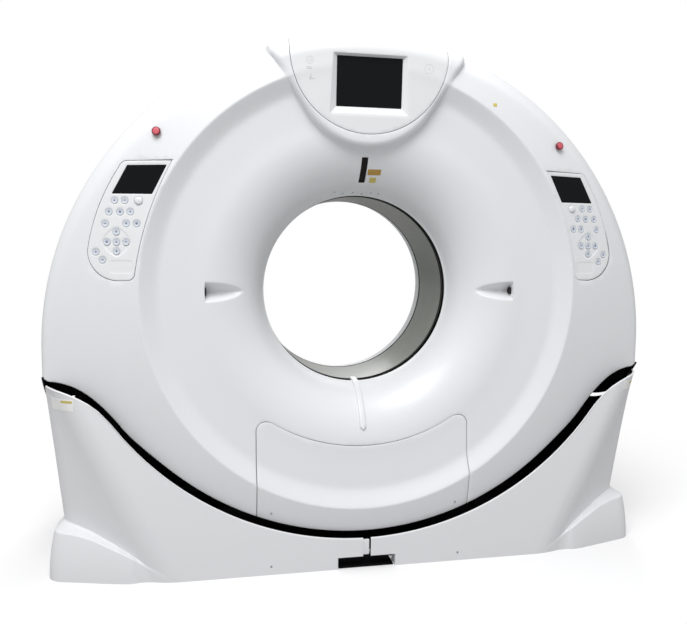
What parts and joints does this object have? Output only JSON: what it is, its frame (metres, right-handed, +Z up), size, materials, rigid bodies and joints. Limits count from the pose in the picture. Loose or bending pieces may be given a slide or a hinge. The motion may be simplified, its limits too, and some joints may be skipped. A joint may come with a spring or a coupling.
{
  "type": "ct scanner",
  "caption": "Ring-shaped body scanner whose round housing tilts on a floor-standing base, with a bell-mouthed opening, display, control panels and a rotating drum inside.",
  "frame": {"origin": "on the floor under the middle of the scanner", "axes": "+X to the right as seen by a person in front, +Y to the back, +Z up"},
  "size_m": [2.27, 0.956, 1.95],
  "materials": {
    "white_cover": "smooth, slightly glossy white moulding",
    "panel_face": "satin pale grey-white",
    "dark_glass": "glossy near-black window",
    "window_ring": "satin mid grey",
    "frame_steel": "satin dark grey paint",
    "bearing_housing": "rough machined casting",
    "gear_steel": "machined steel",
    "rotor_metal": "machined plate",
    "tube_paint": "satin grey paint",
    "detector_case": "anodised",
    "slip_ring_plastic": "moulded",
    "stop_red": "glossy red",
    "light_key": "satin pale grey",
    "grey_key": "satin blue-grey"
  },
  "bodies": {
    "base": {"base_frame": "frame_steel", "left_base_cover": "white_cover", "right_base_cover": "white_cover", "rear_base_cover": "white_cover", "pivot_bearings": "bearing_housing", "tilt_gearmotor": "frame_steel"},
    "gantry": {"tilt_frame": "frame_steel", "bearing_outer_ring": "gear_steel", "front_cover": "white_cover", "rear_cover": "white_cover", "service_panel": "white_cover", "display_shroud": "white_cover", "display_panel": "panel_face", "display_screen": "dark_glass", "right_control_panel": "panel_face", "left_control_panel": "panel_face", "panel_screens": "dark_glass", "laser_windows": "dark_glass", "scan_window": "window_ring", "contact_strip": "white_cover"},
    "rotor": {"rotor_drum": "rotor_metal", "xray_tube": "tube_paint", "detector_array": "detector_case", "high_voltage_unit": "frame_steel", "slip_ring": "slip_ring_plastic"},
    "pinion": {"tilt_pinion": "gear_steel"},
    "right_stop": {"right_emergency_stop": "stop_red"},
    "left_stop": {"left_emergency_stop": "stop_red"},
    "right_key_1_cap": {"right_key_1": "light_key"},
    "right_key_2_cap": {"right_key_2": "light_key"},
    "right_key_3_cap": {"right_key_3": "light_key"},
    "right_key_4_cap": {"right_key_4": "light_key"},
    "right_key_5_cap": {"right_key_5": "light_key"},
    "right_key_6_cap": {"right_key_6": "light_key"},
    "right_key_7_cap": {"right_key_7": "light_key"},
    "right_key_8_cap": {"right_key_8": "light_key"},
    "right_key_9_cap": {"right_key_9": "grey_key"},
    "right_key_10_cap": {"right_key_10": "grey_key"},
    "right_key_11_cap": {"right_key_11": "grey_key"},
    "right_key_12_cap": {"right_key_12": "grey_key"},
    "right_key_13_cap": {"right_key_13": "grey_key"},
    "right_key_14_cap": {"right_key_14": "grey_key"},
    "right_key_15_cap": {"right_key_15": "grey_key"},
    "right_key_16_cap": {"right_key_16": "light_key"},
    "left_key_1_cap": {"left_key_1": "light_key"},
    "left_key_2_cap": {"left_key_2": "light_key"},
    "left_key_3_cap": {"left_key_3": "light_key"},
    "left_key_4_cap": {"left_key_4": "light_key"},
    "left_key_5_cap": {"left_key_5": "light_key"},
    "left_key_6_cap": {"left_key_6": "light_key"},
    "left_key_7_cap": {"left_key_7": "light_key"},
    "left_key_8_cap": {"left_key_8": "light_key"},
    "left_key_9_cap": {"left_key_9": "grey_key"},
    "left_key_10_cap": {"left_key_10": "grey_key"},
    "left_key_11_cap": {"left_key_11": "grey_key"},
    "left_key_12_cap": {"left_key_12": "grey_key"},
    "left_key_13_cap": {"left_key_13": "grey_key"},
    "left_key_14_cap": {"left_key_14": "grey_key"},
    "left_key_15_cap": {"left_key_15": "grey_key"},
    "left_key_16_cap": {"left_key_16": "light_key"}
  },
  "joints": [
    {"name": "gantry_tilt", "type": "hinge", "parent": "base", "child": "gantry", "pos_m": [0, 0, 1.02], "axis": [1, 0, 0], "range_deg": [-22, 22]},
    {"name": "rotor_spin", "type": "hinge", "parent": "gantry", "child": "rotor", "pos_m": [0, 0.1, 1.02], "axis": [0, 1, 0], "continuous": true},
    {"name": "pinion_turn", "type": "hinge", "parent": "base", "child": "pinion", "pos_m": [0.95, 0, 0.636], "axis": [1, 0, 0], "range_deg": [-112, 112]},
    {"name": "right_stop_press", "type": "slide", "parent": "gantry", "child": "right_stop", "axis": [-0.1574, 0.9806, -0.117], "range_m": [0, 0.004], "stiffness_N_per_m": 800, "springref_m": -0.002},
    {"name": "left_stop_press", "type": "slide", "parent": "gantry", "child": "left_stop", "axis": [0.1574, 0.9806, -0.117], "range_m": [0, 0.004], "stiffness_N_per_m": 800, "springref_m": -0.002},
    {"name": "right_key_1_press", "type": "slide", "parent": "gantry", "child": "right_key_1_cap", "axis": [-0.1278, 0.9908, -0.0442], "range_m": [0, 0.002], "stiffness_N_per_m": 300, "springref_m": -0.0015},
    {"name": "right_key_2_press", "type": "slide", "parent": "gantry", "child": "right_key_2_cap", "axis": [-0.1278, 0.9908, -0.0442], "range_m": [0, 0.002], "stiffness_N_per_m": 300, "springref_m": -0.0015},
    {"name": "right_key_3_press", "type": "slide", "parent": "gantry", "child": "right_key_3_cap", "axis": [-0.1278, 0.9908, -0.0442], "range_m": [0, 0.002], "stiffness_N_per_m": 300, "springref_m": -0.0015},
    {"name": "right_key_4_press", "type": "slide", "parent": "gantry", "child": "right_key_4_cap", "axis": [-0.1278, 0.9908, -0.0442], "range_m": [0, 0.002], "stiffness_N_per_m": 300, "springref_m": -0.0015},
    {"name": "right_key_5_press", "type": "slide", "parent": "gantry", "child": "right_key_5_cap", "axis": [-0.1278, 0.9908, -0.0442], "range_m": [0, 0.002], "stiffness_N_per_m": 300, "springref_m": -0.0015},
    {"name": "right_key_6_press", "type": "slide", "parent": "gantry", "child": "right_key_6_cap", "axis": [-0.1278, 0.9908, -0.0442], "range_m": [0, 0.002], "stiffness_N_per_m": 300, "springref_m": -0.0015},
    {"name": "right_key_7_press", "type": "slide", "parent": "gantry", "child": "right_key_7_cap", "axis": [-0.1278, 0.9908, -0.0442], "range_m": [0, 0.002], "stiffness_N_per_m": 300, "springref_m": -0.0015},
    {"name": "right_key_8_press", "type": "slide", "parent": "gantry", "child": "right_key_8_cap", "axis": [-0.1278, 0.9908, -0.0442], "range_m": [0, 0.002], "stiffness_N_per_m": 300, "springref_m": -0.0015},
    {"name": "right_key_9_press", "type": "slide", "parent": "gantry", "child": "right_key_9_cap", "axis": [-0.1278, 0.9908, -0.0442], "range_m": [0, 0.002], "stiffness_N_per_m": 300, "springref_m": -0.0015},
    {"name": "right_key_10_press", "type": "slide", "parent": "gantry", "child": "right_key_10_cap", "axis": [-0.1278, 0.9908, -0.0442], "range_m": [0, 0.002], "stiffness_N_per_m": 300, "springref_m": -0.0015},
    {"name": "right_key_11_press", "type": "slide", "parent": "gantry", "child": "right_key_11_cap", "axis": [-0.1278, 0.9908, -0.0442], "range_m": [0, 0.002], "stiffness_N_per_m": 300, "springref_m": -0.0015},
    {"name": "right_key_12_press", "type": "slide", "parent": "gantry", "child": "right_key_12_cap", "axis": [-0.1278, 0.9908, -0.0442], "range_m": [0, 0.002], "stiffness_N_per_m": 300, "springref_m": -0.0015},
    {"name": "right_key_13_press", "type": "slide", "parent": "gantry", "child": "right_key_13_cap", "axis": [-0.1278, 0.9908, -0.0442], "range_m": [0, 0.002], "stiffness_N_per_m": 300, "springref_m": -0.0015},
    {"name": "right_key_14_press", "type": "slide", "parent": "gantry", "child": "right_key_14_cap", "axis": [-0.1278, 0.9908, -0.0442], "range_m": [0, 0.002], "stiffness_N_per_m": 300, "springref_m": -0.0015},
    {"name": "right_key_15_press", "type": "slide", "parent": "gantry", "child": "right_key_15_cap", "axis": [-0.1278, 0.9908, -0.0442], "range_m": [0, 0.002], "stiffness_N_per_m": 300, "springref_m": -0.0015},
    {"name": "right_key_16_press", "type": "slide", "parent": "gantry", "child": "right_key_16_cap", "axis": [-0.1278, 0.9908, -0.0442], "range_m": [0, 0.002], "stiffness_N_per_m": 300, "springref_m": -0.0015},
    {"name": "left_key_1_press", "type": "slide", "parent": "gantry", "child": "left_key_1_cap", "axis": [0.1278, 0.9908, -0.0442], "range_m": [0, 0.002], "stiffness_N_per_m": 300, "springref_m": -0.0015},
    {"name": "left_key_2_press", "type": "slide", "parent": "gantry", "child": "left_key_2_cap", "axis": [0.1278, 0.9908, -0.0442], "range_m": [0, 0.002], "stiffness_N_per_m": 300, "springref_m": -0.0015},
    {"name": "left_key_3_press", "type": "slide", "parent": "gantry", "child": "left_key_3_cap", "axis": [0.1278, 0.9908, -0.0442], "range_m": [0, 0.002], "stiffness_N_per_m": 300, "springref_m": -0.0015},
    {"name": "left_key_4_press", "type": "slide", "parent": "gantry", "child": "left_key_4_cap", "axis": [0.1278, 0.9908, -0.0442], "range_m": [0, 0.002], "stiffness_N_per_m": 300, "springref_m": -0.0015},
    {"name": "left_key_5_press", "type": "slide", "parent": "gantry", "child": "left_key_5_cap", "axis": [0.1278, 0.9908, -0.0442], "range_m": [0, 0.002], "stiffness_N_per_m": 300, "springref_m": -0.0015},
    {"name": "left_key_6_press", "type": "slide", "parent": "gantry", "child": "left_key_6_cap", "axis": [0.1278, 0.9908, -0.0442], "range_m": [0, 0.002], "stiffness_N_per_m": 300, "springref_m": -0.0015},
    {"name": "left_key_7_press", "type": "slide", "parent": "gantry", "child": "left_key_7_cap", "axis": [0.1278, 0.9908, -0.0442], "range_m": [0, 0.002], "stiffness_N_per_m": 300, "springref_m": -0.0015},
    {"name": "left_key_8_press", "type": "slide", "parent": "gantry", "child": "left_key_8_cap", "axis": [0.1278, 0.9908, -0.0442], "range_m": [0, 0.002], "stiffness_N_per_m": 300, "springref_m": -0.0015},
    {"name": "left_key_9_press", "type": "slide", "parent": "gantry", "child": "left_key_9_cap", "axis": [0.1278, 0.9908, -0.0442], "range_m": [0, 0.002], "stiffness_N_per_m": 300, "springref_m": -0.0015},
    {"name": "left_key_10_press", "type": "slide", "parent": "gantry", "child": "left_key_10_cap", "axis": [0.1278, 0.9908, -0.0442], "range_m": [0, 0.002], "stiffness_N_per_m": 300, "springref_m": -0.0015},
    {"name": "left_key_11_press", "type": "slide", "parent": "gantry", "child": "left_key_11_cap", "axis": [0.1278, 0.9908, -0.0442], "range_m": [0, 0.002], "stiffness_N_per_m": 300, "springref_m": -0.0015},
    {"name": "left_key_12_press", "type": "slide", "parent": "gantry", "child": "left_key_12_cap", "axis": [0.1278, 0.9908, -0.0442], "range_m": [0, 0.002], "stiffness_N_per_m": 300, "springref_m": -0.0015},
    {"name": "left_key_13_press", "type": "slide", "parent": "gantry", "child": "left_key_13_cap", "axis": [0.1278, 0.9908, -0.0442], "range_m": [0, 0.002], "stiffness_N_per_m": 300, "springref_m": -0.0015},
    {"name": "left_key_14_press", "type": "slide", "parent": "gantry", "child": "left_key_14_cap", "axis": [0.1278, 0.9908, -0.0442], "range_m": [0, 0.002], "stiffness_N_per_m": 300, "springref_m": -0.0015},
    {"name": "left_key_15_press", "type": "slide", "parent": "gantry", "child": "left_key_15_cap", "axis": [0.1278, 0.9908, -0.0442], "range_m": [0, 0.002], "stiffness_N_per_m": 300, "springref_m": -0.0015},
    {"name": "left_key_16_press", "type": "slide", "parent": "gantry", "child": "left_key_16_cap", "axis": [0.1278, 0.9908, -0.0442], "range_m": [0, 0.002], "stiffness_N_per_m": 300, "springref_m": -0.0015}
  ],
  "couplings": [
    {"joint": "pinion_turn", "follows": "gantry_tilt", "ratio": -5}
  ]
}
